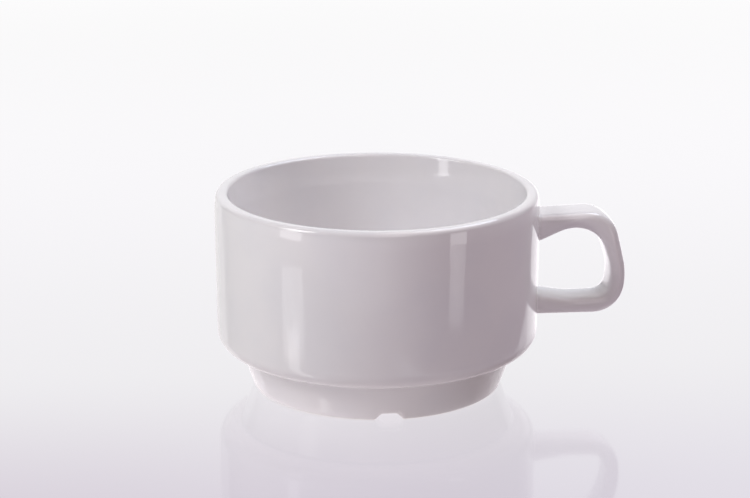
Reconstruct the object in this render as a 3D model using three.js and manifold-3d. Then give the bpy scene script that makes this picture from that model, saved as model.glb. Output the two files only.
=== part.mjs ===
// Stackable breakfast cup of glazed white porcelain: a bowl, a strap handle and two slip joints.
// Lengths are in millimetres. The cup stands on z = 0, and its handle points along +X.
import * as THREE from "three";
import { mergeVertices } from "three/addons/utils/BufferGeometryUtils.js";
import Module from "manifold-3d";

// Bowl
const RIM_DIAMETER = 95;
const CUP_HEIGHT = 58.2;
const WALL_THICKNESS = 5.3; // below the lip
const WALL_DRAFT = 0.35; // how far the outside draws in from the rim down to the shoulder
const BOWL_DRAFT = 0.5; // how far the inside draws in from below the lip down to the floor
const BOWL_ROUND = 24;
const FLOOR_THICKNESS = 4;

// Lip, which leans in a little outside and flares out inside
const LIP_LEAN = 0.5;
const LIP_LEAN_HEIGHT = 4.5;
const LIP_LEAN_ROUND = 14;
const LIP_FLARE = 1.5;
const LIP_FLARE_HEIGHT = 8.8;
const LIP_FLARE_ROUND = 30;
const LIP_ROUND = 1.6;

// Shoulder and stacking ledge, which rest on the rim of the cup below in a stack
const LEDGE_HEIGHT = 11.8;
const LEDGE_WIDTH = 6.5;
const LEDGE_CORNER_ROUND = 0.8;
const SHOULDER_ROUND = 5.4;

// Foot
const FOOT_TAPER = 4.2; // how far the foot draws in from the ledge down to the table
const FOOT_EDGE_ROUND = 1.2;
const STANDING_RING_WIDTH = 4.4;
const BASE_RECESS = 3;
const RECESS_DRAFT = 1.2;
const RECESS_ROUND = 1.6;

// Drain notches in the standing ring, square to the handle
const NOTCH_COUNT = 2;
const NOTCH_DEPTH = 1.8;
const NOTCH_BASE_WIDTH = 9;
const NOTCH_TOP_WIDTH = 4;

// Handle, a strap whose outline runs out from the wall, down the side and back
const HANDLE_WIDTH = 13.2;
const HANDLE_PROJECTION = 26.4; // from the rim's outside to the knuckle, the corner where the side bends
const HANDLE_TOP_DROP = 6.6; // from the top of the rim to the handle's top corner
const HANDLE_HEIGHT = 31.5;
const UPPER_ARM_RISE = 0.8;
const SIDE_LEAN = 4.6; // how far the top corner stands back from the knuckle
const KNUCKLE_DROP = 19;
const BOTTOM_TUCK = 1.8; // how far the bottom corner stands back from the knuckle
const UPPER_ARM_THICKNESS = 5.5;
const SIDE_THICKNESS = 4.5;
const LOWER_ARM_THICKNESS = 4.9;
const UPPER_ROOT_THICKNESS = 8.4;
const UPPER_TAPER_LENGTH = 8;
const LOWER_ROOT_THICKNESS = 6.4;
const LOWER_TAPER_LENGTH = 9;
const TOP_CORNER_ROUND = 9.2;
const KNUCKLE_ROUND = 28;
const BOTTOM_CORNER_ROUND = 11;
const FINGER_CORNER_ROUND = 11;
const FINGER_LOW_ROUND = 6.5;
const TAPER_ROUND = 14;
const STRAP_SQUARENESS = 5; // power of the section's curve: 2 is an oval, more is squarer

// Slip joints
const SLIP_THICKNESS = 0.6;
const SLIP_BEAD = 0.4; // how far the squeezed-out slip stands round the handle's end
const JOINT_GAP = 0.3;

// Fineness of the facets
const TURN_STEPS = 72;
const FACET_SAG = 0.05;
const STRAP_STEPS = 40;
const ROOT_STEPS = 6;
const SECTION_STEPS = 20;
const NOTCH_CURVE_STEPS = 6;
const SAME_POINT = 1e-3;

// Spare length of a cutter past what it cuts, and of the strap inside the wall
const CUT_MARGIN = 4;

// Sizes that follow from the ones above
const RIM_RADIUS = RIM_DIAMETER / 2;
const SHOULDER_RADIUS = RIM_RADIUS - WALL_DRAFT;
const FOOT_TOP_RADIUS = SHOULDER_RADIUS - LEDGE_WIDTH;
const FOOT_BASE_RADIUS = FOOT_TOP_RADIUS - FOOT_TAPER;
const RECESS_RADIUS = FOOT_BASE_RADIUS - STANDING_RING_WIDTH;
const BOWL_RADIUS = RIM_RADIUS - WALL_THICKNESS;
const FLOOR_HEIGHT = BASE_RECESS + FLOOR_THICKNESS;

const wasm = await Module();
wasm.setup();

// Straight legs between corners [across, up, radius], with each corner rounded to its radius.
// Two rounds on a leg that is too short for both shrink to share it.
function roundedChain(corners) {
  const spots = corners.map(([across, up]) => new THREE.Vector2(across, up));
  const legs = spots.slice(1).map((spot, i) => spot.clone().sub(spots[i]));
  const turns = corners.map((_, i) => {
    if (i === 0 || i === legs.length) return 0;
    return Math.atan2(legs[i - 1].cross(legs[i]), legs[i - 1].dot(legs[i]));
  });
  const wanted = corners.map(([, , radius = 0], i) => radius * Math.tan(Math.abs(turns[i]) / 2));
  const share = legs.map((leg, i) => Math.min(1, leg.length() / (wanted[i] + wanted[i + 1])));
  const points = [spots[0]];
  for (let i = 1; i < legs.length; i++) {
    const tangent = wanted[i] * Math.min(share[i - 1], share[i]);
    if (tangent === 0) {
      points.push(spots[i]);
      continue;
    }
    const radius = tangent / Math.tan(Math.abs(turns[i]) / 2);
    const along = legs[i - 1].clone().normalize();
    const start = spots[i].clone().addScaledVector(along, -tangent);
    const inward = new THREE.Vector2(-along.y, along.x).multiplyScalar(Math.sign(turns[i]));
    const centre = start.clone().addScaledVector(inward, radius);
    const steps = Math.ceil(Math.abs(turns[i]) / (2 * Math.acos(1 - FACET_SAG / radius)));
    for (let k = 0; k <= steps; k++) {
      points.push(start.clone().rotateAround(centre, (turns[i] * k) / steps));
    }
  }
  points.push(spots[legs.length]);
  return points.filter((point, i) => i === 0 || point.distanceTo(points[i - 1]) > SAME_POINT);
}

// A profile of [radius, height] points turned round the cup's axis.
function turned(profile) {
  return new THREE.LatheGeometry(profile, TURN_STEPS).rotateX(Math.PI / 2);
}

function solidOf(geometry) {
  geometry.deleteAttribute("normal");
  geometry.deleteAttribute("uv");
  const merged = mergeVertices(geometry);
  return new wasm.Manifold(
    new wasm.Mesh({
      numProp: 3,
      vertProperties: merged.attributes.position.array,
      triVerts: new Uint32Array(merged.index.array),
    }),
  );
}

function meshOf(name, solid, material) {
  const { vertProperties, triVerts } = solid.getMesh();
  const geometry = new THREE.BufferGeometry();
  geometry.setAttribute("position", new THREE.BufferAttribute(vertProperties, 3));
  geometry.setIndex(new THREE.BufferAttribute(triVerts, 1));
  geometry.computeVertexNormals();
  const mesh = new THREE.Mesh(geometry, material);
  mesh.name = name;
  return mesh;
}

// Corners of the outside, from the table up to where the lip starts to lean.
const OUTSIDE = [
  [FOOT_BASE_RADIUS, 0, FOOT_EDGE_ROUND],
  [FOOT_TOP_RADIUS, LEDGE_HEIGHT, LEDGE_CORNER_ROUND],
  [SHOULDER_RADIUS, LEDGE_HEIGHT, SHOULDER_ROUND],
  [RIM_RADIUS, CUP_HEIGHT - LIP_LEAN_HEIGHT, LIP_LEAN_ROUND],
];

// The bowl's closed profile: under the base, up the outside, over the lip and down to the floor.
function bowlSolid() {
  return solidOf(
    turned(
      roundedChain([
        [0, BASE_RECESS],
        [RECESS_RADIUS - RECESS_DRAFT, BASE_RECESS, RECESS_ROUND],
        [RECESS_RADIUS, 0, FOOT_EDGE_ROUND],
        ...OUTSIDE,
        [RIM_RADIUS - LIP_LEAN, CUP_HEIGHT, LIP_ROUND],
        [BOWL_RADIUS + LIP_FLARE, CUP_HEIGHT, LIP_ROUND],
        [BOWL_RADIUS, CUP_HEIGHT - LIP_FLARE_HEIGHT, LIP_FLARE_ROUND],
        [BOWL_RADIUS - BOWL_DRAFT, FLOOR_HEIGHT, BOWL_ROUND],
        [0, FLOOR_HEIGHT],
      ]),
    ),
  );
}

// The outside grown by a gap and filled to the axis: what is cut by it fits the wall.
function wallForm(gap) {
  const grown = OUTSIDE.map(([radius, height, round]) => [radius + gap, height, round]);
  return solidOf(
    turned(
      roundedChain([
        [0, -CUT_MARGIN],
        [FOOT_BASE_RADIUS + gap, -CUT_MARGIN],
        ...grown,
        [RIM_RADIUS + gap, CUP_HEIGHT + CUT_MARGIN],
        [0, CUP_HEIGHT + CUT_MARGIN],
      ]),
    ),
  );
}

// A bar with the notch's soft outline, laid across the standing ring at an angle round the axis.
function notchBar(angle) {
  const foot = NOTCH_BASE_WIDTH / 2;
  const top = NOTCH_TOP_WIDTH / 2;
  const middle = (foot + top) / 2;
  const outline = new THREE.Shape();
  outline.moveTo(-foot, -CUT_MARGIN);
  outline.lineTo(foot, -CUT_MARGIN);
  outline.lineTo(foot, 0);
  outline.bezierCurveTo(middle, 0, middle, NOTCH_DEPTH, top, NOTCH_DEPTH);
  outline.lineTo(-top, NOTCH_DEPTH);
  outline.bezierCurveTo(-middle, NOTCH_DEPTH, -middle, 0, -foot, 0);
  const depth = STANDING_RING_WIDTH + 2 * CUT_MARGIN;
  const bar = new THREE.ExtrudeGeometry(outline, {
    depth,
    bevelEnabled: false,
    curveSegments: NOTCH_CURVE_STEPS,
  });
  bar.rotateX(Math.PI / 2);
  bar.rotateZ(Math.PI);
  bar.translate(0, RECESS_RADIUS - CUT_MARGIN, 0);
  return solidOf(bar.rotateZ(angle));
}

// The handle's outer and inner outlines in its own plane, as evenly spaced points from the upper
// root to the lower one. Both start inside the wall, where the roots are trimmed.
function strapOutlines() {
  const top = CUP_HEIGHT - HANDLE_TOP_DROP;
  const bottom = top - HANDLE_HEIGHT;
  const upperRoot = top - UPPER_ARM_RISE;
  const knuckle = RIM_RADIUS + HANDLE_PROJECTION;
  const buried = RIM_RADIUS - CUT_MARGIN;
  const outer = [
    [buried, upperRoot],
    [RIM_RADIUS, upperRoot],
    [knuckle - SIDE_LEAN, top, TOP_CORNER_ROUND],
    [knuckle, top - KNUCKLE_DROP, KNUCKLE_ROUND],
    [knuckle - BOTTOM_TUCK, bottom, BOTTOM_CORNER_ROUND],
    [buried, bottom],
  ];
  const inner = [
    [buried, upperRoot - UPPER_ROOT_THICKNESS],
    [RIM_RADIUS, upperRoot - UPPER_ROOT_THICKNESS],
    [RIM_RADIUS + UPPER_TAPER_LENGTH, top - UPPER_ARM_THICKNESS, TAPER_ROUND],
    [knuckle - SIDE_LEAN - SIDE_THICKNESS, top - UPPER_ARM_THICKNESS, FINGER_CORNER_ROUND],
    [knuckle - SIDE_THICKNESS, top - KNUCKLE_DROP, KNUCKLE_ROUND],
    [knuckle - BOTTOM_TUCK - SIDE_THICKNESS, bottom + LOWER_ARM_THICKNESS, FINGER_LOW_ROUND],
    [RIM_RADIUS + LOWER_TAPER_LENGTH, bottom + LOWER_ARM_THICKNESS, TAPER_ROUND],
    [RIM_RADIUS, bottom + LOWER_ROOT_THICKNESS],
    [buried, bottom + LOWER_ROOT_THICKNESS],
  ];
  return [outer, inner].map((corners) =>
    new THREE.Path(roundedChain(corners)).getSpacedPoints(STRAP_STEPS),
  );
}

// A closed strap lofted through one rounded section for each pair of outline points, grown all
// round by a bead.
function strapSolid(outer, inner, bead) {
  const squared = (value) => Math.sign(value) * Math.abs(value) ** (2 / STRAP_SQUARENESS);
  const positions = [];
  outer.forEach((edge, i) => {
    const middle = edge.clone().add(inner[i]).multiplyScalar(0.5);
    const half = edge.clone().sub(middle);
    half.setLength(half.length() + bead);
    for (let k = 0; k < SECTION_STEPS; k++) {
      const angle = (2 * Math.PI * k) / SECTION_STEPS;
      const thick = squared(Math.cos(angle));
      const wide = squared(Math.sin(angle)) * (HANDLE_WIDTH / 2 + bead);
      positions.push(middle.x + half.x * thick, wide, middle.y + half.y * thick);
    }
  });
  const index = [];
  const endRing = (outer.length - 1) * SECTION_STEPS;
  for (let k = 0; k < SECTION_STEPS; k++) {
    const next = (k + 1) % SECTION_STEPS;
    for (let ring = 0; ring < endRing; ring += SECTION_STEPS) {
      const [a, b] = [ring + k, ring + next];
      const [c, d] = [a + SECTION_STEPS, b + SECTION_STEPS];
      index.push(a, c, b, b, c, d);
    }
    index.push(0, k, next);
    index.push(endRing, endRing + next, endRing + k);
  }
  const geometry = new THREE.BufferGeometry();
  geometry.setAttribute("position", new THREE.Float32BufferAttribute(positions, 3));
  geometry.setIndex(index);
  return solidOf(geometry);
}

// The pad of slip under one end of the handle: a slice of the beaded strap that hugs the wall.
function slipSolid(outer, inner) {
  return strapSolid(outer, inner, SLIP_BEAD)
    .intersect(wallForm(JOINT_GAP + SLIP_THICKNESS))
    .subtract(wallForm(JOINT_GAP));
}

// Glazes
const bodyGlaze = new THREE.MeshStandardMaterial({ color: 0xf2f0f1, roughness: 0.08, metalness: 0 });
const handleGlaze = new THREE.MeshStandardMaterial({ color: 0xf1eff0, roughness: 0.1, metalness: 0 });
const slipGlaze = new THREE.MeshStandardMaterial({ color: 0xefecec, roughness: 0.14, metalness: 0 });

// Assembly
let body = bowlSolid();
for (let notch = 0; notch < NOTCH_COUNT; notch++) {
  body = body.subtract(notchBar((2 * Math.PI * notch) / NOTCH_COUNT));
}
const [outer, inner] = strapOutlines();
const handle = strapSolid(outer, inner, 0).subtract(wallForm(2 * JOINT_GAP + SLIP_THICKNESS));
const upperSlip = slipSolid(outer.slice(0, ROOT_STEPS), inner.slice(0, ROOT_STEPS));
const lowerSlip = slipSolid(outer.slice(-ROOT_STEPS), inner.slice(-ROOT_STEPS));

const cup = new THREE.Group();
cup.add(
  meshOf("cup_body", body, bodyGlaze),
  meshOf("handle", handle, handleGlaze),
  meshOf("upper_slip_joint", upperSlip, slipGlaze),
  meshOf("lower_slip_joint", lowerSlip, slipGlaze),
);
// The middle of the whole length, from the rim to the handle's furthest point, lies over the origin.
const handleReach = Math.max(...outer.map((point) => point.x));
cup.position.x = (RIM_RADIUS - handleReach) / 2;

const part = new THREE.Group();
part.add(cup);

export default part;
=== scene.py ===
"""Looks of a stackable porcelain breakfast cup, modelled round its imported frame.

Lengths are in metres. The cup stands on z = 0, its handle points along +X, and its bowl is turned
round an upright axis through the middle of the rim.
"""

import logging
import math
from collections.abc import Callable, Sequence
from dataclasses import dataclass, field
from enum import Enum

import bmesh
import bpy
from mathutils import Matrix, Vector


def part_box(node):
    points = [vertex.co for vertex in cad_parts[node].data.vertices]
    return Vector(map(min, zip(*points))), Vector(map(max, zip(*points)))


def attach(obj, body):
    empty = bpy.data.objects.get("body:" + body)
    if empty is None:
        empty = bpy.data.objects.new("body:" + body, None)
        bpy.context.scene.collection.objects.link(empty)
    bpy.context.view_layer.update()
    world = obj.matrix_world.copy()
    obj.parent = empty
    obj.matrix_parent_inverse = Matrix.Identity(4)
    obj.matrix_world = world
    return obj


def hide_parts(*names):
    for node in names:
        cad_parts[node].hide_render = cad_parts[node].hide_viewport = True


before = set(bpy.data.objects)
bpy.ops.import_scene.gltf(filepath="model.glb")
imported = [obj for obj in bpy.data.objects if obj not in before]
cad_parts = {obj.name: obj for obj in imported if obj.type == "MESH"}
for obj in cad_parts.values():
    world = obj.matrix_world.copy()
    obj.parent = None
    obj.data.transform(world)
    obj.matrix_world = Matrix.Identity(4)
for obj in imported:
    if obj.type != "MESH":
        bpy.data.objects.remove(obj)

LOG = logging.getLogger("breakfast_cup")
MM = 0.001
ROOT_BODY = "root"
SAME_PLACE = 0.002 * MM
FULL_TURN = 2 * math.pi
ARC_PROFILE = 0.5

Colour = tuple[float, float, float]
Edge = tuple[float, float]
Socket = bpy.types.NodeSocket


class Piece(Enum):
    """The cup's pieces, each named as the solid that it stands for."""

    BOWL = "cup_body"
    HANDLE = "handle"
    UPPER_SLIP = "upper_slip_joint"
    LOWER_SLIP = "lower_slip_joint"


class Slot(Enum):
    """The record's material slots."""

    BODY = "body_glaze"
    HANDLE = "handle_glaze"
    SLIP = "slip_glaze"


class Part(Enum):
    """What a pick in edit mode is made of."""

    POINT = "VERT"
    EDGE = "EDGE"
    FACE = "FACE"


@dataclass(frozen=True)
class Corner:
    """A corner of an outline, with the radius that it is rounded to."""

    across: float
    up: float
    radius: float = 0.0

    @property
    def spot(self) -> Vector:
        """The sharp corner's place in the outline's plane."""
        return Vector((self.across, self.up))


def direction(azimuth: float, elevation: float) -> Vector:
    """Points from the cup to a place round it.

    Args:
        azimuth: The angle round the cup in degrees, 0 in front of it and positive to the right.
        elevation: The angle above the table in degrees.

    Returns:
        The unit vector.
    """
    around = math.radians(azimuth)
    above = math.radians(elevation)
    level = math.cos(above)
    return Vector((math.sin(around) * level, -math.cos(around) * level, math.sin(above)))


def turn_at(before: Corner, corner: Corner, after: Corner) -> float:
    """Finds how far an outline turns at a corner.

    Args:
        before: The corner that the outline comes from.
        corner: The corner where it turns.
        after: The corner that it goes to.

    Returns:
        The signed angle in radians.
    """
    leg_in = corner.spot - before.spot
    leg_out = after.spot - corner.spot
    return math.atan2(leg_in.cross(leg_out), leg_in.dot(leg_out))


def arc_steps(radius: float, turn: float, sag: float) -> int:
    """Counts the steps of an arc that turns by this many radians and keeps to this sag."""
    return max(1, math.ceil(abs(turn) / (2 * math.acos(1 - min(sag / radius, 1)))))


def rounded_chain(corners: Sequence[Corner], sag: float) -> list[Vector]:
    """Rounds the corners of an open outline.

    Args:
        corners: The outline's corners in order. The first and the last stay sharp, and two rounds
            on a leg that is too short for both shrink to share it.
        sag: The furthest that a step of an arc may lie off it.

    Returns:
        The outline's points in its plane.
    """
    legs = [after.spot - before.spot for before, after in zip(corners, corners[1:])]
    turns = [0.0, *(turn_at(*trio) for trio in zip(corners, corners[1:], corners[2:])), 0.0]
    wanted = [corner.radius * math.tan(abs(turn) / 2) for corner, turn in zip(corners, turns)]
    shares = [
        min(1.0, leg.length / max(first + second, SAME_PLACE))
        for leg, first, second in zip(legs, wanted, wanted[1:])
    ]
    points = [corners[0].spot]
    for number, corner in enumerate(corners[1:-1], 1):
        tangent = wanted[number] * min(shares[number - 1], shares[number])
        if tangent == 0:
            points.append(corner.spot)
            continue
        turn = turns[number]
        radius = tangent / math.tan(abs(turn) / 2)
        along = legs[number - 1].normalized()
        start = corner.spot - along * tangent
        centre = start + Vector((-along.y, along.x)) * math.copysign(radius, turn)
        steps = arc_steps(radius, turn, sag)
        for step in range(steps + 1):
            swing = Matrix.Rotation(turn * step / steps, 2)
            points.append(centre + swing @ (start - centre))
    points.append(corners[-1].spot)
    return points


def evenly_spaced(points: Sequence[Vector], steps: int) -> list[Vector]:
    """Lays points at even distances along an outline.

    Args:
        points: The outline's points.
        steps: How many equal steps to take along it.

    Returns:
        The new points, one more than the steps.
    """
    lengths = [(after - before).length for before, after in zip(points, points[1:])]
    pace = sum(lengths) / steps
    spaced = []
    leg = 0
    passed = 0.0
    for step in range(steps + 1):
        while leg < len(lengths) - 1 and passed + lengths[leg] < step * pace:
            passed += lengths[leg]
            leg += 1
        share = min(1.0, (step * pace - passed) / lengths[leg])
        spaced.append(points[leg].lerp(points[leg + 1], share))
    return spaced


class Workpiece:
    """A mesh that is shaped with edit-mode operators, as by hand."""

    def __init__(self, thing: bpy.types.Object) -> None:
        """Takes a mesh object as the piece to work on."""
        self.thing = thing

    @classmethod
    def from_point(cls, name: str, start: Vector) -> "Workpiece":
        """Starts a piece as one point, from a small plane that is merged to its middle.

        Args:
            name: The piece's name.
            start: Where the point lies.

        Returns:
            The piece, open in edit mode with its point picked.
        """
        bpy.ops.object.select_all(action="DESELECT")
        bpy.ops.mesh.primitive_plane_add(size=MM, location=start)
        bpy.ops.object.transform_apply(location=True, rotation=True, scale=True)
        piece = cls(bpy.context.object)
        piece.thing.name = name
        piece.thing.data.name = name
        piece.open()
        bpy.ops.mesh.merge(type="CENTER")
        return piece

    def take_up(self) -> None:
        """Makes the piece the only one that is picked, and the active one."""
        bpy.ops.object.select_all(action="DESELECT")
        bpy.context.view_layer.objects.active = self.thing
        self.thing.select_set(True)

    @property
    def mesh(self) -> bmesh.types.BMesh:
        """The piece's mesh while it is open in edit mode."""
        return bmesh.from_edit_mesh(self.thing.data)

    def open(self) -> None:
        """Opens the piece in edit mode, all of it picked."""
        self.take_up()
        bpy.ops.object.mode_set(mode="EDIT")
        self.pick_all()

    def close(self) -> None:
        """Goes back to object mode."""
        bpy.ops.object.mode_set(mode="OBJECT")

    def pick(self, test: Callable[[Vector], bool], kind: Part = Part.POINT) -> None:
        """Picks the points that pass a test, or the edges or faces that lie wholly on such points.

        Args:
            test: Says whether a place counts.
            kind: What is picked.
        """
        bpy.ops.mesh.select_all(action="DESELECT")
        bpy.ops.mesh.select_mode(type=kind.value)
        mesh = self.mesh
        parts = {Part.POINT: mesh.verts, Part.EDGE: mesh.edges, Part.FACE: mesh.faces}[kind]
        for part in parts:
            corners = [part] if kind is Part.POINT else part.verts
            if all(test(corner.co) for corner in corners):
                part.select_set(True)
        bmesh.update_edit_mesh(self.thing.data)

    def pick_all(self) -> None:
        """Picks the whole piece."""
        bpy.ops.mesh.select_mode(type="VERT")
        bpy.ops.mesh.select_all(action="SELECT")

    def draw(self, points: Sequence[Vector]) -> None:
        """Extrudes the picked point from the first of these points through the others."""
        for before, after in zip(points, points[1:]):
            bpy.ops.mesh.extrude_vertices_move(TRANSFORM_OT_translate={"value": after - before})

    def tidy(self) -> None:
        """Merges doubled points and turns every face outwards."""
        self.pick_all()
        bpy.ops.mesh.remove_doubles(threshold=SAME_PLACE)
        bpy.ops.mesh.normals_make_consistent(inside=False)

    def apply(self, kind: str, **settings: object) -> None:
        """Adds a modifier with these settings and applies it.

        Args:
            kind: The modifier's type.
            settings: Its settings by name.
        """
        self.take_up()
        bpy.ops.object.modifier_add(type=kind)
        modifier = self.thing.modifiers[-1]
        for name, value in settings.items():
            setattr(modifier, name, value)
        bpy.ops.object.modifier_apply(modifier=modifier.name)

    def smooth(self, crease: float) -> None:
        """Shades the piece smooth, with edges sharper than this angle left crisp."""
        self.take_up()
        bpy.ops.object.shade_smooth_by_angle(angle=crease)

    def hand_over(self, piece: Piece, slot: Slot, material: bpy.types.Material) -> None:
        """Dresses the finished piece and lets it stand for its solid.

        Args:
            piece: The solid that it stands for.
            slot: The record's slot that its finish belongs to; not used.
            material: The finish.
        """
        self.thing.data.materials.clear()
        self.thing.data.materials.append(material)
        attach(self.thing, ROOT_BODY)
        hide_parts(piece.value)
        faces = len(self.thing.data.polygons)
        LOG.info("%s: %d faces, finish %s", self.thing.name, faces, material.name)


class Wiring:
    """Adds and joins the nodes of one shader tree."""

    def __init__(self, tree: bpy.types.NodeTree) -> None:
        """Takes the tree and empties it."""
        self.tree = tree
        self.tree.nodes.clear()

    def add(
        self, kind: str, settings: dict[str, object] | None = None, **sockets: object
    ) -> bpy.types.Node:
        """Adds a node.

        Args:
            kind: The node's type.
            settings: Its own settings by name.
            sockets: What its inputs get, by name with _ for a space: a value, or a socket to join.

        Returns:
            The node.
        """
        node = self.tree.nodes.new(kind)
        for name, value in (settings or {}).items():
            setattr(node, name, value)
        for name, value in sockets.items():
            self.feed(node, name.replace("_", " "), value)
        return node

    def feed(self, node: bpy.types.Node, name: str | int, value: object) -> None:
        """Gives a node's input a value, or joins a socket to it.

        Args:
            node: The node.
            name: The input's name or number.
            value: The value or the socket.
        """
        if isinstance(value, Socket):
            self.tree.links.new(value, node.inputs[name])
        else:
            node.inputs[name].default_value = value

    def math(self, operation: str, *values: object) -> Socket:
        """Adds a sum on one to three values or sockets.

        Args:
            operation: The sum's name.
            values: Its inputs in order.

        Returns:
            The result's socket.
        """
        node = self.tree.nodes.new("ShaderNodeMath")
        node.operation = operation
        for number, value in enumerate(values):
            self.feed(node, number, value)
        return node.outputs[0]

    def ramp(
        self, value: Socket, start: float, end: float, low: float = 0.0, high: float = 1.0
    ) -> Socket:
        """Maps a value smoothly from one range to another.

        Args:
            value: The value's socket.
            start: Where the result is low.
            end: Where it is high.
            low: The result at the start.
            high: The result at the end.

        Returns:
            The result's socket.
        """
        node = self.add(
            "ShaderNodeMapRange",
            {"interpolation_type": "SMOOTHSTEP"},
            Value=value,
            From_Min=start,
            From_Max=end,
            To_Min=low,
            To_Max=high,
        )
        return node.outputs["Result"]

    def hypot(self, first: Socket, second: Socket) -> Socket:
        """Measures a step from its two parts, which lie square to each other."""
        squares = [self.math("POWER", part, 2.0) for part in (first, second)]
        return self.math("SQRT", self.math("ADD", *squares))

    def noise(self, place: Socket, scale: Socket, detail: float) -> Socket:
        """Adds a noise with so many waves to a metre and so many finer layers on them."""
        node = self.add("ShaderNodeTexNoise", Vector=place, Scale=scale, Detail=detail)
        return node.outputs[0]

    def blend(self, share: object, first: object, second: object) -> Socket:
        """Mixes two colours.

        Args:
            share: How much of the second colour shows.
            first: The first colour, or its socket.
            second: The second one.

        Returns:
            The mixed colour's socket.
        """
        node = self.tree.nodes.new("ShaderNodeMix")
        node.data_type = "RGBA"
        socket = {(s.name, s.type): n for n, s in enumerate(node.inputs)}
        self.feed(node, socket[("Factor", "VALUE")], share)
        self.feed(node, socket[("A", "RGBA")], first)
        self.feed(node, socket[("B", "RGBA")], second)
        return next(s for s in node.outputs if s.type == "RGBA")


def grey(level: float) -> Colour:
    """Makes an even grey."""
    return (level, level, level)


def opaque(colour: Colour) -> tuple[float, float, float, float]:
    """Gives a colour its full alpha."""
    return (*colour, 1.0)


def new_group(
    name: str, inputs: dict[str, str], outputs: dict[str, str]
) -> tuple[bpy.types.NodeTree, Wiring]:
    """Starts a shader node group.

    Args:
        name: The group's name.
        inputs: The kinds of its input sockets by name.
        outputs: The kinds of its output sockets by name.

    Returns:
        The group and the wiring of its tree.
    """
    group = bpy.data.node_groups.new(name, "ShaderNodeTree")
    wiring = Wiring(group)
    for label, kind in inputs.items():
        group.interface.new_socket(label, in_out="INPUT", socket_type=kind)
    for label, kind in outputs.items():
        group.interface.new_socket(label, in_out="OUTPUT", socket_type=kind)
    return group, wiring


VECTOR = "NodeSocketVector"
FLOAT = "NodeSocketFloat"
COLOUR = "NodeSocketColor"
HAZE_RANGE: Edge = (0.3, 0.7)
CLOUD_RANGE: Edge = (0.35, 0.7)
SPECK_RIM: Edge = (1.0, 0.5)


def glaze_ripple_group() -> bpy.types.NodeTree:
    """Makes the glaze's uneven skin: slow waves, with a fine orange peel on them.

    Returns:
        The group, which puts out a height from 0 to 1 and a haze from 0 to 1.
    """
    group, wiring = new_group(
        "glaze_ripple",
        {"Place": VECTOR, "Waves": FLOAT, "Peel": FLOAT, "Peel Share": FLOAT},
        {"Height": FLOAT, "Haze": FLOAT},
    )
    given = wiring.add("NodeGroupInput").outputs
    waves = wiring.noise(given["Place"], given["Waves"], detail=1.0)
    peel = wiring.noise(given["Place"], given["Peel"], detail=0.0)
    fine = wiring.math("MULTIPLY", peel, given["Peel Share"])
    made = wiring.add("NodeGroupOutput")
    wiring.feed(made, "Height", wiring.math("ADD", waves, fine))
    wiring.feed(made, "Haze", wiring.ramp(waves, *HAZE_RANGE))
    return group


def glaze_tone_group() -> bpy.types.NodeTree:
    """Makes the glaze's tone, which drifts between thin and deep in soft clouds.

    Returns:
        The group, which puts out a colour.
    """
    group, wiring = new_group(
        "glaze_tone",
        {"Place": VECTOR, "Clouds": FLOAT, "Thin": COLOUR, "Deep": COLOUR},
        {"Tone": COLOUR},
    )
    given = wiring.add("NodeGroupInput").outputs
    clouds = wiring.noise(given["Place"], given["Clouds"], detail=3.0)
    share = wiring.ramp(clouds, *CLOUD_RANGE)
    made = wiring.add("NodeGroupOutput")
    wiring.feed(made, "Tone", wiring.blend(share, given["Thin"], given["Deep"]))
    return group


def kiln_speck_group() -> bpy.types.NodeTree:
    """Makes the few fine specks that firing leaves in white ware.

    Returns:
        The group, which puts out a mask.
    """
    group, wiring = new_group(
        "kiln_specks",
        {"Place": VECTOR, "Cells": FLOAT, "Share": FLOAT, "Size": FLOAT},
        {"Mask": FLOAT},
    )
    given = wiring.add("NodeGroupInput").outputs
    cells = wiring.add("ShaderNodeTexVoronoi", Vector=given["Place"], Scale=given["Cells"])
    lot = wiring.add("ShaderNodeSeparateColor", Color=cells.outputs["Color"])
    chosen = wiring.math("LESS_THAN", lot.outputs[0], given["Share"])
    reach = wiring.math("DIVIDE", cells.outputs["Distance"], given["Size"])
    near = wiring.ramp(reach, *SPECK_RIM)
    made = wiring.add("NodeGroupOutput")
    wiring.feed(made, "Mask", wiring.math("MULTIPLY", chosen, near))
    return group


def turned_place_group() -> bpy.types.NodeTree:
    """Measures places round the bowl's axis.

    Returns:
        The group, which puts out the distance from the axis and the height above the table.
    """
    group, wiring = new_group(
        "turned_place", {"Place": VECTOR, "Axis": FLOAT}, {"Radius": FLOAT, "Height": FLOAT}
    )
    given = wiring.add("NodeGroupInput").outputs
    place = wiring.add("ShaderNodeSeparateXYZ", Vector=given["Place"]).outputs
    across = wiring.math("SUBTRACT", place["X"], given["Axis"])
    made = wiring.add("NodeGroupOutput")
    wiring.feed(made, "Radius", wiring.hypot(across, place["Y"]))
    wiring.feed(made, "Height", place["Z"])
    return group


@dataclass(frozen=True)
class GlazeGroups:
    """The node groups that every glaze shares."""

    ripple: bpy.types.NodeTree = field(default_factory=glaze_ripple_group)
    tone: bpy.types.NodeTree = field(default_factory=glaze_tone_group)
    specks: bpy.types.NodeTree = field(default_factory=kiln_speck_group)
    turned: bpy.types.NodeTree = field(default_factory=turned_place_group)


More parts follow.
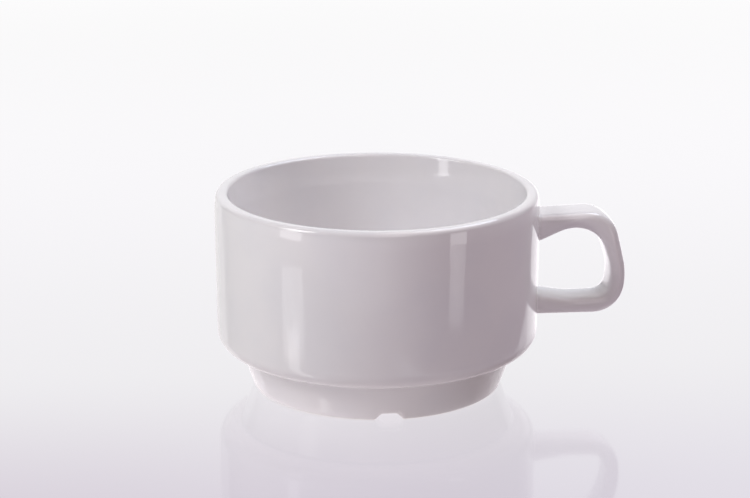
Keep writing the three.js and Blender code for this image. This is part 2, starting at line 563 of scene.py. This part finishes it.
@dataclass(frozen=True)
class GlazeFinish:
    """A clear gloss glaze over white porcelain."""

    name: str
    thin: Colour = (0.86, 0.845, 0.85)
    deep: Colour = (0.83, 0.82, 0.835)
    pooled: Colour = (0.70, 0.70, 0.73)
    speck: Colour = (0.42, 0.36, 0.33)
    bare: Colour = (0.78, 0.75, 0.70)
    gloss: float = 0.035
    haze: float = 0.06
    bare_roughness: float = 0.75
    wave_length: float = 14 * MM
    peel_length: float = 1.1 * MM
    peel_share: float = 0.01
    ripple_depth: float = 0.12 * MM
    cloud_size: float = 22 * MM
    speck_spacing: float = 7 * MM
    speck_size: float = 0.03
    speck_share: float = 0.05
    pool_width: float = 0.9 * MM
    refraction: float = 1.5

    def material(
        self,
        groups: GlazeGroups,
        axis: float,
        creases: Sequence[Corner] = (),
        bare_height: float = 0.0,
    ) -> bpy.types.Material:
        """Makes the glaze's material.

        Args:
            groups: The node groups that glazes share.
            axis: Where the bowl's axis lies along X.
            creases: Rings round the axis where the glaze pools.
            bare_height: Up to this height above the table the clay is left bare.

        Returns:
            The material.
        """
        material = bpy.data.materials.new(self.name)
        material.use_nodes = True
        wiring = Wiring(material.node_tree)
        place = wiring.add("ShaderNodeTexCoord").outputs["Object"]
        tone = self._group(wiring, groups.tone, Place=place, Clouds=1 / self.cloud_size)
        wiring.feed(tone, "Thin", opaque(self.thin))
        wiring.feed(tone, "Deep", opaque(self.deep))
        ripple = self._group(
            wiring,
            groups.ripple,
            Place=place,
            Waves=1 / self.wave_length,
            Peel=1 / self.peel_length,
            Peel_Share=self.peel_share,
        )
        specks = self._group(
            wiring,
            groups.specks,
            Place=place,
            Cells=1 / self.speck_spacing,
            Share=self.speck_share,
            Size=self.speck_size,
        )
        turned = self._group(wiring, groups.turned, Place=place, Axis=axis)
        colour = wiring.blend(specks.outputs["Mask"], tone.outputs["Tone"], opaque(self.speck))
        for crease in creases:
            colour = wiring.blend(self._pool(wiring, turned, crease), colour, opaque(self.pooled))
        roughness = wiring.ramp(ripple.outputs["Haze"], 0.0, 1.0, self.gloss, self.haze)
        if bare_height:
            bare = wiring.ramp(turned.outputs["Height"], bare_height, bare_height / 2)
            colour = wiring.blend(bare, colour, opaque(self.bare))
            rough = wiring.math("MULTIPLY", bare, self.bare_roughness)
            roughness = wiring.math("MAXIMUM", roughness, rough)
        bump = wiring.add(
            "ShaderNodeBump",
            Strength=1.0,
            Distance=self.ripple_depth,
            Height=ripple.outputs["Height"],
        )
        shader = wiring.add(
            "ShaderNodeBsdfPrincipled",
            Base_Color=colour,
            Roughness=roughness,
            IOR=self.refraction,
            Normal=bump.outputs["Normal"],
        )
        wiring.add("ShaderNodeOutputMaterial", Surface=shader.outputs["BSDF"])
        return material

    @staticmethod
    def _group(wiring: Wiring, group: bpy.types.NodeTree, **sockets: object) -> bpy.types.Node:
        """Places a shared group in a material and feeds its inputs."""
        return wiring.add("ShaderNodeGroup", {"node_tree": group}, **sockets)

    def _pool(self, wiring: Wiring, turned: bpy.types.Node, crease: Corner) -> Socket:
        """Masks the glaze that pools in a ring-shaped crease.

        Args:
            wiring: The material's wiring.
            turned: The node that measures places round the axis.
            crease: The ring's radius and height.

        Returns:
            The mask's socket.
        """
        outward = wiring.math("SUBTRACT", turned.outputs["Radius"], crease.across)
        upward = wiring.math("SUBTRACT", turned.outputs["Height"], crease.up)
        return wiring.ramp(wiring.hypot(outward, upward), self.pool_width, 0.0)


@dataclass
class Bowl:
    """The turned bowl: wall, lip, rounded shoulder, stacking ledge, foot and drain notches."""

    axis: float
    rim_radius: float
    height: float
    wall: float = 5.3 * MM
    wall_draft: float = 0.35 * MM
    lip_lean: float = 0.5 * MM
    lip_height: float = 4.5 * MM
    lip_round: float = 1.6 * MM
    lip_inner_round: float = 1.0 * MM
    lip_lean_round: float = 14 * MM
    flare: float = 1.5 * MM
    flare_height: float = 8.8 * MM
    flare_round: float = 8 * MM
    bowl_draft: float = 0.5 * MM
    bowl_round: float = 24 * MM
    floor_height: float = 7 * MM
    ledge_height: float = 11.8 * MM
    ledge_width: float = 6.5 * MM
    ledge_round: float = 0.8 * MM
    shoulder_round: float = 5.4 * MM
    foot_taper: float = 4.2 * MM
    foot_round: float = 1.2 * MM
    ring_width: float = 4.4 * MM
    recess: float = 3 * MM
    recess_draft: float = 1.2 * MM
    recess_round: float = 1.6 * MM
    notch_depth: float = 1.8 * MM
    notch_top: float = 4 * MM
    notch_flank: float = 2.5 * MM
    notch_loops: int = 4
    loops_to_flank: int = 3
    bare_height: float = 0.4 * MM
    crease: float = math.radians(40)
    turn_steps: int = 480
    sag: float = 0.008 * MM

    @property
    def shoulder_radius(self) -> float:
        """The outside's radius where the shoulder starts."""
        return self.rim_radius - self.wall_draft

    @property
    def foot_top(self) -> Corner:
        """The crease between the foot and the stacking ledge."""
        return Corner(self.shoulder_radius - self.ledge_width, self.ledge_height, self.ledge_round)

    @property
    def foot_base_radius(self) -> float:
        """The foot's radius on the table."""
        return self.foot_top.across - self.foot_taper

    def wall_radius(self, height: float) -> float:
        """Finds the outside's radius between the shoulder and the lip.

        Args:
            height: The height above the table.

        Returns:
            The radius.
        """
        lip_start = self.height - self.lip_height
        share = (lip_start - height) / (lip_start - self.ledge_height)
        return self.rim_radius - self.wall_draft * share

    def profile(self) -> list[Corner]:
        """Lists the closed profile's corners.

        Returns:
            The corners from under the base, up the outside, over the lip and down to the floor.
        """
        recess_radius = self.foot_base_radius - self.ring_width
        inside = self.rim_radius - self.wall
        return [
            Corner(0, self.recess),
            Corner(recess_radius - self.recess_draft, self.recess, self.recess_round),
            Corner(recess_radius, 0, self.foot_round),
            Corner(self.foot_base_radius, 0, self.foot_round),
            self.foot_top,
            Corner(self.shoulder_radius, self.ledge_height, self.shoulder_round),
            Corner(self.rim_radius, self.height - self.lip_height, self.lip_lean_round),
            Corner(self.rim_radius - self.lip_lean, self.height, self.lip_round),
            Corner(inside + self.flare, self.height, self.lip_inner_round),
            Corner(inside, self.height - self.flare_height, self.flare_round),
            Corner(inside - self.bowl_draft, self.floor_height, self.bowl_round),
            Corner(0, self.floor_height),
        ]

    def build(self) -> Workpiece:
        """Turns the profile round the axis, rounds its rings and presses the notches in.

        Returns:
            The finished mesh.
        """
        corners = self.profile()
        spots = [Vector((self.axis + corner.across, 0, corner.up)) for corner in corners]
        shell = Workpiece.from_point(Piece.BOWL.value + "_glazed", spots[0])
        shell.draw(spots)
        shell.pick_all()
        bpy.ops.mesh.spin(
            steps=self.turn_steps, angle=FULL_TURN, center=(self.axis, 0, 0), axis=(0, 0, 1)
        )
        shell.tidy()
        for before, corner, after in zip(corners, corners[1:], corners[2:]):
            self._round_ring(shell, corner, turn_at(before, corner, after))
        for side in (-1, 1):
            self._press_notch(shell, side)
        shell.tidy()
        shell.close()
        shell.smooth(self.crease)
        return shell

    def _round_ring(self, shell: Workpiece, corner: Corner, turn: float) -> None:
        """Bevels the sharp ring that a corner of the profile has turned into.

        Args:
            shell: The turned shell.
            corner: The corner.
            turn: How far the profile turns there.
        """
        shell.pick(
            lambda place: abs(math.hypot(place.x - self.axis, place.y) - corner.across) < SAME_PLACE
            and abs(place.z - corner.up) < SAME_PLACE,
            Part.EDGE,
        )
        bpy.ops.mesh.bevel(
            offset=corner.radius * math.tan(abs(turn) / 2),
            segments=arc_steps(corner.radius, turn, self.sag),
            profile=ARC_PROFILE,
            clamp_overlap=False,
        )

    def _press_notch(self, shell: Workpiece, side: int) -> None:
        """Presses a drain notch up into the standing ring, square to the handle.

        Args:
            shell: The turned shell.
            side: The side of the cup, -1 or 1 along Y.
        """
        for loop in range(1, self.notch_loops + 1):
            shell.pick_all()
            height = self.foot_round + self.notch_flank * loop / self.loops_to_flank
            bpy.ops.mesh.bisect(plane_co=(0, 0, height), plane_no=(0, 0, 1))
        within = self.foot_base_radius - 2 * self.ring_width
        shell.pick(
            lambda place: place.y * side > 0
            and place.z < self.foot_round
            and abs(place.x - self.axis) <= self.notch_top / 2
            and math.hypot(place.x - self.axis, place.y) > within
        )
        bpy.ops.transform.translate(
            value=(0, 0, self.notch_depth),
            use_proportional_edit=True,
            use_proportional_connected=True,
            proportional_edit_falloff="SMOOTH",
            proportional_size=self.notch_flank,
        )


@dataclass
class StrapHandle:
    """The flat strap handle, bent into a loop and trimmed to the wall."""

    bowl: Bowl
    width: float = 13.2 * MM
    projection: float = 26.4 * MM
    top_drop: float = 6.6 * MM
    height: float = 31.5 * MM
    arm_rise: float = 0.8 * MM
    side_lean: float = 4.6 * MM
    knuckle_drop: float = 19 * MM
    bottom_tuck: float = 1.8 * MM
    upper_arm: float = 5.5 * MM
    side: float = 4.5 * MM
    lower_arm: float = 4.9 * MM
    upper_root: float = 8.4 * MM
    upper_taper: float = 8 * MM
    lower_root: float = 6.4 * MM
    lower_taper: float = 9 * MM
    top_round: float = 9.2 * MM
    knuckle_round: float = 28 * MM
    bottom_round: float = 11 * MM
    finger_round: float = 11 * MM
    finger_low_round: float = 6.5 * MM
    taper_round: float = 14 * MM
    edge_round: float = 2.15 * MM
    edge_steps: int = 2
    edge_angle: float = math.radians(60)
    crease: float = math.radians(50)
    joint: float = 0.7 * MM
    buried: float = 4 * MM
    stations: int = 56
    sag: float = 0.01 * MM
    smooth_levels: int = 2

    @property
    def top(self) -> float:
        """The height of the top corner."""
        return self.bowl.height - self.top_drop

    @property
    def bottom(self) -> float:
        """The height of the lower arm's underside."""
        return self.top - self.height

    def outlines(self) -> tuple[list[Vector], list[Vector]]:
        """Works out the strap's outer and inner outlines in its own plane.

        Returns:
            Both outlines, as evenly spaced points from the upper root to the lower one.
        """
        rim = self.bowl.rim_radius
        start = rim - self.buried
        knuckle = rim + self.projection
        root = self.top - self.arm_rise
        under = self.top - self.upper_arm
        over = self.bottom + self.lower_arm
        bend = self.top - self.knuckle_drop
        outer = [
            Corner(start, root),
            Corner(rim, root),
            Corner(knuckle - self.side_lean, self.top, self.top_round),
            Corner(knuckle, bend, self.knuckle_round),
            Corner(knuckle - self.bottom_tuck, self.bottom, self.bottom_round),
            Corner(start, self.bottom),
        ]
        inner = [
            Corner(start, root - self.upper_root),
            Corner(rim, root - self.upper_root),
            Corner(rim + self.upper_taper, under, self.taper_round),
            Corner(knuckle - self.side_lean - self.side, under, self.finger_round),
            Corner(knuckle - self.side, bend, self.knuckle_round),
            Corner(knuckle - self.bottom_tuck - self.side, over, self.finger_low_round),
            Corner(rim + self.lower_taper, over, self.taper_round),
            Corner(rim, self.bottom + self.lower_root),
            Corner(start, self.bottom + self.lower_root),
        ]
        return tuple(
            evenly_spaced(rounded_chain(corners, self.sag), self.stations)
            for corners in (outer, inner)
        )

    def build(self) -> Workpiece:
        """Bridges the two outlines, widens them into a strap and rounds its edges.

        Returns:
            The finished mesh.
        """
        edge = -self.width / 2
        outer, inner = (
            [Vector((self.bowl.axis + spot.x, edge, spot.y)) for spot in outline]
            for outline in self.outlines()
        )
        strap = Workpiece.from_point(Piece.HANDLE.value + "_glazed", outer[0])
        strap.draw(outer)
        bpy.ops.mesh.select_all(action="DESELECT")
        bpy.ops.mesh.primitive_plane_add(size=MM, location=inner[0])
        bpy.ops.mesh.merge(type="CENTER")
        strap.draw(inner)
        bpy.ops.mesh.select_mode(type="EDGE")
        bpy.ops.mesh.select_all(action="SELECT")
        bpy.ops.mesh.bridge_edge_loops()
        strap.pick_all()
        bpy.ops.mesh.extrude_region_move(TRANSFORM_OT_translate={"value": (0, self.width, 0)})
        strap.tidy()
        self._round_edges(strap)
        strap.close()
        levels = self.smooth_levels
        strap.apply("SUBSURF", levels=levels, render_levels=levels)
        self._trim(strap)
        strap.smooth(self.crease)
        return strap

    def _round_edges(self, strap: Workpiece) -> None:
        """Bevels the strap's four long edges.

        Args:
            strap: The sharp-edged strap.
        """
        bpy.ops.mesh.select_all(action="DESELECT")
        bpy.ops.mesh.select_mode(type="EDGE")
        for link in strap.mesh.edges:
            start, end = link.verts
            if abs(link.calc_face_angle(0)) > self.edge_angle and start.co.y == end.co.y:
                link.select_set(True)
        bmesh.update_edit_mesh(strap.thing.data)
        bpy.ops.mesh.bevel(
            offset=self.edge_round,
            segments=self.edge_steps,
            profile=ARC_PROFILE,
            clamp_overlap=False,
        )

    def _trim(self, strap: Workpiece) -> None:
        """Cuts both roots to the curve of the wall, one joint's thickness off it.

        Args:
            strap: The strap, which runs into the wall.
        """
        bowl = self.bowl
        low = bowl.ledge_height
        high = bowl.height
        bpy.ops.object.select_all(action="DESELECT")
        bpy.ops.mesh.primitive_cone_add(
            vertices=bowl.turn_steps,
            radius1=bowl.wall_radius(low) + self.joint,
            radius2=bowl.wall_radius(high) + self.joint,
            depth=high - low,
            location=(bowl.axis, 0, (low + high) / 2),
        )
        former = bpy.context.object
        strap.apply("BOOLEAN", operation="DIFFERENCE", solver="EXACT", object=former)
        bpy.data.objects.remove(former)


@dataclass
class SlipJoint:
    """The pad of slip under one end of the handle, with the small hollow fillet round it."""

    handle: StrapHandle
    piece: Piece
    rings: int = 7
    sunk: float = 0.15 * MM
    end_tolerance: float = 0.02 * MM

    def build(self, strap: Workpiece) -> Workpiece:
        """Grows the pad from the handle's trimmed end towards the wall.

        Args:
            strap: The handle's finished mesh.

        Returns:
            The finished mesh.
        """
        pad = self._copy_end(strap)
        places = [vertex.co for vertex in pad.thing.data.vertices]
        lows, highs = (Vector(map(pick, zip(*places))) for pick in (min, max))
        middle = (lows + highs) / 2
        size = highs - lows
        pad.open()
        reach = self.handle.joint
        off, grown = reach, 0.0
        for ring in range(1, self.rings + 1):
            angle = math.pi / 2 * ring / self.rings
            next_off = reach * (1 - math.sin(angle))
            next_grown = reach * (1 - math.cos(angle))
            inward = off - next_off + (self.sunk if ring == self.rings else 0)
            bpy.ops.mesh.extrude_region_move(TRANSFORM_OT_translate={"value": (-inward, 0, 0)})
            wider = [(length + 2 * next_grown) / (length + 2 * grown) for length in size]
            bpy.ops.transform.resize(value=(1, wider[1], wider[2]), center_override=middle)
            off, grown = next_off, next_grown
        bpy.ops.mesh.select_all(action="DESELECT")
        bpy.ops.mesh.select_non_manifold()
        bpy.ops.mesh.edge_face_add()
        pad.tidy()
        pad.close()
        pad.smooth(self.handle.crease)
        return pad

    def _copy_end(self, strap: Workpiece) -> Workpiece:
        """Copies the handle's trimmed end into a new piece.

        Args:
            strap: The handle's finished mesh.

        Returns:
            The end face, as a piece by itself.
        """
        handle = self.handle
        bowl = handle.bowl
        middle = (handle.top + handle.bottom) / 2
        upper = self.piece is Piece.UPPER_SLIP

        def on_end(place: Vector) -> bool:
            """Says whether a place lies on the trimmed end."""
            off_wall = math.hypot(place.x - bowl.axis, place.y) - bowl.wall_radius(place.z)
            return (place.z > middle) == upper and abs(off_wall - handle.joint) < self.end_tolerance

        strap.open()
        strap.pick(on_end, Part.FACE)
        bpy.ops.mesh.duplicate()
        bpy.ops.mesh.separate(type="SELECTED")
        strap.close()
        pad = next(thing for thing in bpy.context.selected_objects if thing is not strap.thing)
        pad.name = self.piece.value + "_glazed"
        pad.data.name = pad.name
        return Workpiece(pad)


@dataclass(frozen=True)
class SoftBox:
    """A soft studio light that faces the cup and is kept out of the picture."""

    name: str
    azimuth: float
    elevation: float
    distance: float
    width: float
    height: float
    radiance: Colour
    cup_alone: bool = False

    def hang(self, target: Vector) -> bpy.types.Object:
        """Places the light.

        Args:
            target: The point that it faces.

        Returns:
            The light.
        """
        back = direction(self.azimuth, self.elevation)
        bpy.ops.object.select_all(action="DESELECT")
        bpy.ops.object.light_add(
            type="AREA",
            location=target + back * self.distance,
            rotation=back.to_track_quat("Z", "Y").to_euler(),
        )
        light = bpy.context.object
        light.name = self.name
        light.data.shape = "RECTANGLE"
        light.data.size = self.width
        light.data.size_y = self.height
        peak = max(self.radiance)
        light.data.energy = peak * math.pi * self.width * self.height
        light.data.color = [part / peak for part in self.radiance]
        light.visible_camera = False
        return light


@dataclass(frozen=True)
class TablePatch:
    """A soft-edged patch painted on the table's glow: painted light where it is brighter than the
    table round it, painted shade where it is darker. Each edge runs from dark to bright.
    """

    glow: Colour
    across: Edge
    around: Edge | None = None
    along: Edge | None = None
    slant: float = 0.0

    def mask(self, wiring: Wiring, place: Socket) -> Socket:
        """Masks the patch.

        Args:
            wiring: The table material's wiring.
            place: The socket of the place on the table, measured from the bowl's axis.

        Returns:
            The mask's socket.
        """
        spot = wiring.add("ShaderNodeSeparateXYZ", Vector=place).outputs
        mask = wiring.ramp(spot["X"], *self.across)
        if self.around:
            radius = wiring.add("ShaderNodeVectorMath", {"operation": "LENGTH"}, Vector=place)
            mask = wiring.math("MULTIPLY", mask, wiring.ramp(radius.outputs["Value"], *self.around))
        if self.along:
            line = wiring.math("MULTIPLY_ADD", spot["X"], self.slant, spot["Y"])
            mask = wiring.math("MULTIPLY", mask, wiring.ramp(line, *self.along))
        return mask


@dataclass
class Studio:
    """The pale table, the soft lights and the camera at the photograph's viewing angle."""

    bowl: Bowl
    camera_azimuth: float = -5.5
    camera_elevation: float = 16.11
    camera_distance: float = 676.8 * MM
    aim_height: float = 40.14 * MM
    aim_side: float = -0.61 * MM
    lens: float = 110.5
    sensor: float = 36.0
    table_size: float = 6.0
    table_gap: float = 0.05 * MM
    shell_radius: float = 4.5
    shell_glow: Colour = grey(0.92)
    table_roughness: float = 0.07
    table_sheen: float = 0.32
    # The seen table is dark and its paleness is painted light: these glows run from the darker
    # front left to the brighter right and middle, and dim again far back.
    table_seen: Colour = grey(0.07)
    mirror_seen: float = 1.0
    seen_left: Colour = (0.53, 0.475, 0.55)
    seen_right: Colour = (0.62, 0.59, 0.655)
    seen_middle: Colour = (0.68, 0.668, 0.69)
    seen_far: Colour = (0.575, 0.57, 0.575)
    seen_across: Edge = (-0.16, 0.14)
    seen_near_depth: Edge = (-0.12, 0.02)
    seen_far_depth: Edge = (0.15, 0.65)
    table_lit: Colour = grey(0.80)
    mirror_lit: float = 0.5
    # Painted light and shade on the lighting table: the middle glow and the brighter patches are
    # painted light; the first patch, darker than the table round it, is a painted shadow close
    # under the cup on the handle's side, and the right side stays darker near the cup, a painted
    # shadow too.
    lit_middle: Colour = (0.28, 0.20, 0.25)
    lit_patches: tuple[TablePatch, ...] = (
        TablePatch((0.142, 0.104, 0.09), (-0.03, 0.0), around=(0.064, 0.05)),
        TablePatch((0.42, 0.405, 0.405), (0.0, -0.08)),
        TablePatch((0.37, 0.285, 0.34), (0.0, 0.05), around=(0.08, 0.15)),
        TablePatch((0.535, 0.485, 0.51), (0.05, -0.02), around=(0.09, 0.05)),
        TablePatch(
            (1.08, 1.03, 1.08),
            (0.0, 0.02),
            around=(0.055, 0.085),
            along=(-0.126, -0.116),
            slant=-1.395,
        ),
        TablePatch((0.78, 0.71, 0.765), (0.05, -0.01), along=(-0.13, -0.17)),
        TablePatch(
            (0.41, 0.365, 0.39),
            (0.0, 0.02),
            around=(0.075, 0.05),
            along=(-0.057, -0.046),
            slant=-0.824,
        ),
    )
    room_seen: Colour = (0.94, 0.94, 0.945)
    room_lit: Colour = (0.015, 0.01, 0.015)

    def build(self) -> None:
        """Sets the table, the lights and the camera up."""
        seen, lighting = self._seen_table(), self._lighting_table()
        self._shell(seen)
        cup_and_table = self._all_but("all_but_the_seen_table", seen)
        cup_alone = self._all_but("all_but_both_tables", seen, lighting)
        target = Vector((self.bowl.axis, 0, self.bowl.height / 2))
        for light in self.lights():
            lit = cup_alone if light.cup_alone else cup_and_table
            light.hang(target).light_linking.receiver_collection = lit
        self._surround()
        self._camera()

    def lights(self) -> list[SoftBox]:
        """Lists the soft lights round the cup.

        Returns:
            The lights.
        """
        front = self.camera_azimuth
        return [
            SoftBox("back_panel", front + 180, 20, 0.95, 1.74, 0.7, grey(0.92)),
            SoftBox("left_low_strip", front - 57, 5, 0.29, 0.080, 0.052, grey(2.9)),
            SoftBox("left_high_strip", front - 57.5, 28, 0.33, 0.052, 0.235, grey(4.2)),
            SoftBox("right_low_strip", front + 53, 0.1, 0.29, 0.055, 0.058, grey(2.9)),
            SoftBox("left_key", front - 65, 40, 1.1, 0.4, 0.4, (7.9, 7.85, 8.0), cup_alone=True),
            SoftBox("front_fill", front + 10, 35, 1.1, 0.4, 0.4, (2.3, 2.03, 2.2), cup_alone=True),
            SoftBox(
                "top_right", front + 80, 70, 0.36, 0.25, 0.25, (2.05, 1.8, 1.72), cup_alone=True
            ),
            SoftBox("top_back", front + 135, 57, 1.1, 0.5, 0.5, (4.9, 5.35, 6.1), cup_alone=True),
        ]

    @staticmethod
    def _all_but(name: str, *spared: bpy.types.Object) -> bpy.types.Collection:
        """Names the things that a light leaves out.

        Args:
            name: The collection's name.
            spared: The things.

        Returns:
            The collection, for the light's receivers.
        """
        group = bpy.data.collections.new(name)
        for thing in spared:
            group.objects.link(thing)
        for member in group.collection_objects:
            member.light_linking.link_state = "EXCLUDE"
        return group

    def _seen_table(self) -> bpy.types.Object:
        """Lays the pale, glossy table that the camera sees; its paleness is painted light, a glow
        of its own.

        Returns:
            The table.
        """
        table, wiring, place = self._plane("table", 0.0)
        self._gloss(wiring, self.table_seen, self.mirror_seen, self._seen_glow(wiring, place))
        self._hide(table, "diffuse", "glossy", "transmission", "volume_scatter", "shadow")
        return table

    def _lighting_table(self) -> bpy.types.Object:
        """Lays the table that throws light on the cup, just under the seen one; its light is
        painted, a glow of its own, not a lamp.

        Returns:
            The table.
        """
        table, wiring, place = self._plane("table_light", -self.table_gap)
        self._gloss(wiring, self.table_lit, self.mirror_lit, self._lit_glow(wiring, place))
        self._hide(table, "camera")
        return table

    @staticmethod
    def _hide(thing: bpy.types.Object, *rays: str) -> None:
        """Keeps these kinds of rays from meeting a thing."""
        for ray in rays:
            setattr(thing, f"visible_{ray}", False)

    def _plane(self, name: str, height: float) -> tuple[bpy.types.Object, Wiring, Socket]:
        """Lays a plane round the bowl's axis and gives it an empty material.

        Args:
            name: The plane's name.
            height: How high it lies.

        Returns:
            The plane, its material's wiring and the socket of the place on it.
        """
        bpy.ops.object.select_all(action="DESELECT")
        bpy.ops.mesh.primitive_plane_add(size=self.table_size, location=(self.bowl.axis, 0, height))
        plane = bpy.context.object
        plane.name = name
        wiring = self._dress(plane)
        return plane, wiring, wiring.add("ShaderNodeTexCoord").outputs["Object"]

    @staticmethod
    def _dress(thing: bpy.types.Object) -> Wiring:
        """Gives a thing an empty material.

        Args:
            thing: The thing.

        Returns:
            The material's wiring.
        """
        material = bpy.data.materials.new(thing.name)
        material.use_nodes = True
        thing.data.materials.append(material)
        return Wiring(material.node_tree)

    def _gloss(self, wiring: Wiring, colour: Colour, mirror: float, glow: Socket) -> None:
        """Makes a glossy surface with a light of its own.

        Args:
            wiring: The material's wiring.
            colour: The surface's colour.
            mirror: How far it is a mirror.
            glow: The socket of its own light.
        """
        shader = wiring.add(
            "ShaderNodeBsdfPrincipled",
            Base_Color=opaque(colour),
            Roughness=self.table_roughness,
            Metallic=mirror,
            Specular_IOR_Level=self.table_sheen,
            Emission_Color=glow,
            Emission_Strength=1.0,
        )
        wiring.add("ShaderNodeOutputMaterial", Surface=shader.outputs["BSDF"])

    def _shell(self, table: bpy.types.Object) -> None:
        """Hangs a pale shell round the studio, which is only seen mirrored in the table.

        Args:
            table: The table that mirrors it.
        """
        bpy.ops.object.select_all(action="DESELECT")
        bpy.ops.mesh.primitive_uv_sphere_add(radius=self.shell_radius)
        shell = bpy.context.object
        shell.name = "pale_shell"
        wiring = self._dress(shell)
        light = wiring.add("ShaderNodeEmission", Color=opaque(self.shell_glow), Strength=1.0)
        wiring.add("ShaderNodeOutputMaterial", Surface=light.outputs[0])
        self._hide(shell, "camera", "diffuse", "transmission", "volume_scatter", "shadow")
        mirroring = bpy.data.collections.new("mirrors_the_shell")
        mirroring.objects.link(table)
        shell.light_linking.receiver_collection = mirroring

    def _seen_glow(self, wiring: Wiring, place: Socket) -> Socket:
        """Paints the table's light as the camera sees it: a glow of its own, brighter to the right
        and to the back.

        Args:
            wiring: The material's wiring.
            place: The socket of the place on the table.

        Returns:
            The colour's socket.
        """
        spot = wiring.add("ShaderNodeSeparateXYZ", Vector=place).outputs
        glow: object = opaque(self.seen_left)
        for axis, edge, colour in (
            ("X", self.seen_across, self.seen_right),
            ("Y", self.seen_near_depth, self.seen_middle),
            ("Y", self.seen_far_depth, self.seen_far),
        ):
            glow = wiring.blend(wiring.ramp(spot[axis], *edge), glow, opaque(colour))
        return glow

    def _lit_glow(self, wiring: Wiring, place: Socket) -> Socket:
        """Paints the light and shade on the table as it falls on the cup: a glow of its own,
        brighter in patches and darker close to the cup where its shadow would lie.

        Args:
            wiring: The material's wiring.
            place: The socket of the place on the table.

        Returns:
            The colour's socket.
        """
        glow: object = opaque(self.lit_middle)
        for patch in self.lit_patches:
            glow = wiring.blend(patch.mask(wiring, place), glow, opaque(patch.glow))
        return glow

    def _surround(self) -> None:
        """Gives the room a pale look and only a little light of its own."""
        world = bpy.data.worlds.new("studio_room")
        world.use_nodes = True
        wiring = Wiring(world.node_tree)
        straight = wiring.add("ShaderNodeLightPath").outputs["Is Camera Ray"]
        colour = wiring.blend(straight, opaque(self.room_lit), opaque(self.room_seen))
        room = wiring.add("ShaderNodeBackground", Color=colour, Strength=1.0)
        wiring.add("ShaderNodeOutputWorld", Surface=room.outputs[0])
        bpy.context.scene.world = world
        bpy.context.scene.view_settings.view_transform = "Standard"

    def _camera(self) -> None:
        """Places the camera."""
        around = math.radians(self.camera_azimuth)
        back = direction(self.camera_azimuth, self.camera_elevation)
        right = Vector((math.cos(around), math.sin(around), 0))
        aim = Vector((self.bowl.axis, 0, self.aim_height)) + right * self.aim_side
        bpy.ops.object.select_all(action="DESELECT")
        bpy.ops.object.camera_add(
            location=aim + back * self.camera_distance,
            rotation=back.to_track_quat("Z", "Y").to_euler(),
        )
        camera = bpy.context.object
        camera.data.lens = self.lens
        camera.data.sensor_width = self.sensor
        bpy.context.scene.camera = camera


def main() -> None:
    """Builds the cup's pieces in order, dresses them and sets the studio up."""
    logging.basicConfig(level=logging.INFO, format="%(message)s")
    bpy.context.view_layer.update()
    low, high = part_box(Piece.BOWL.value)
    rim_radius = (high.y - low.y) / 2
    bowl = Bowl(axis=low.x + rim_radius, rim_radius=rim_radius, height=high.z)
    handle = StrapHandle(bowl)
    groups = GlazeGroups()
    Studio(bowl).build()
    body_glaze = GlazeFinish(Slot.BODY.value).material(
        groups, bowl.axis, [bowl.foot_top], bowl.bare_height
    )
    bowl.build().hand_over(Piece.BOWL, Slot.BODY, body_glaze)
    strap = handle.build()
    slip_finish = GlazeFinish(Slot.SLIP.value, thin=(0.84, 0.83, 0.835))
    slip_glaze = slip_finish.material(groups, bowl.axis)
    for piece in (Piece.UPPER_SLIP, Piece.LOWER_SLIP):
        SlipJoint(handle, piece).build(strap).hand_over(piece, Slot.SLIP, slip_glaze)
    handle_glaze = GlazeFinish(Slot.HANDLE.value).material(groups, bowl.axis)
    strap.hand_over(Piece.HANDLE, Slot.HANDLE, handle_glaze)


if __name__ == "__main__":
    main()
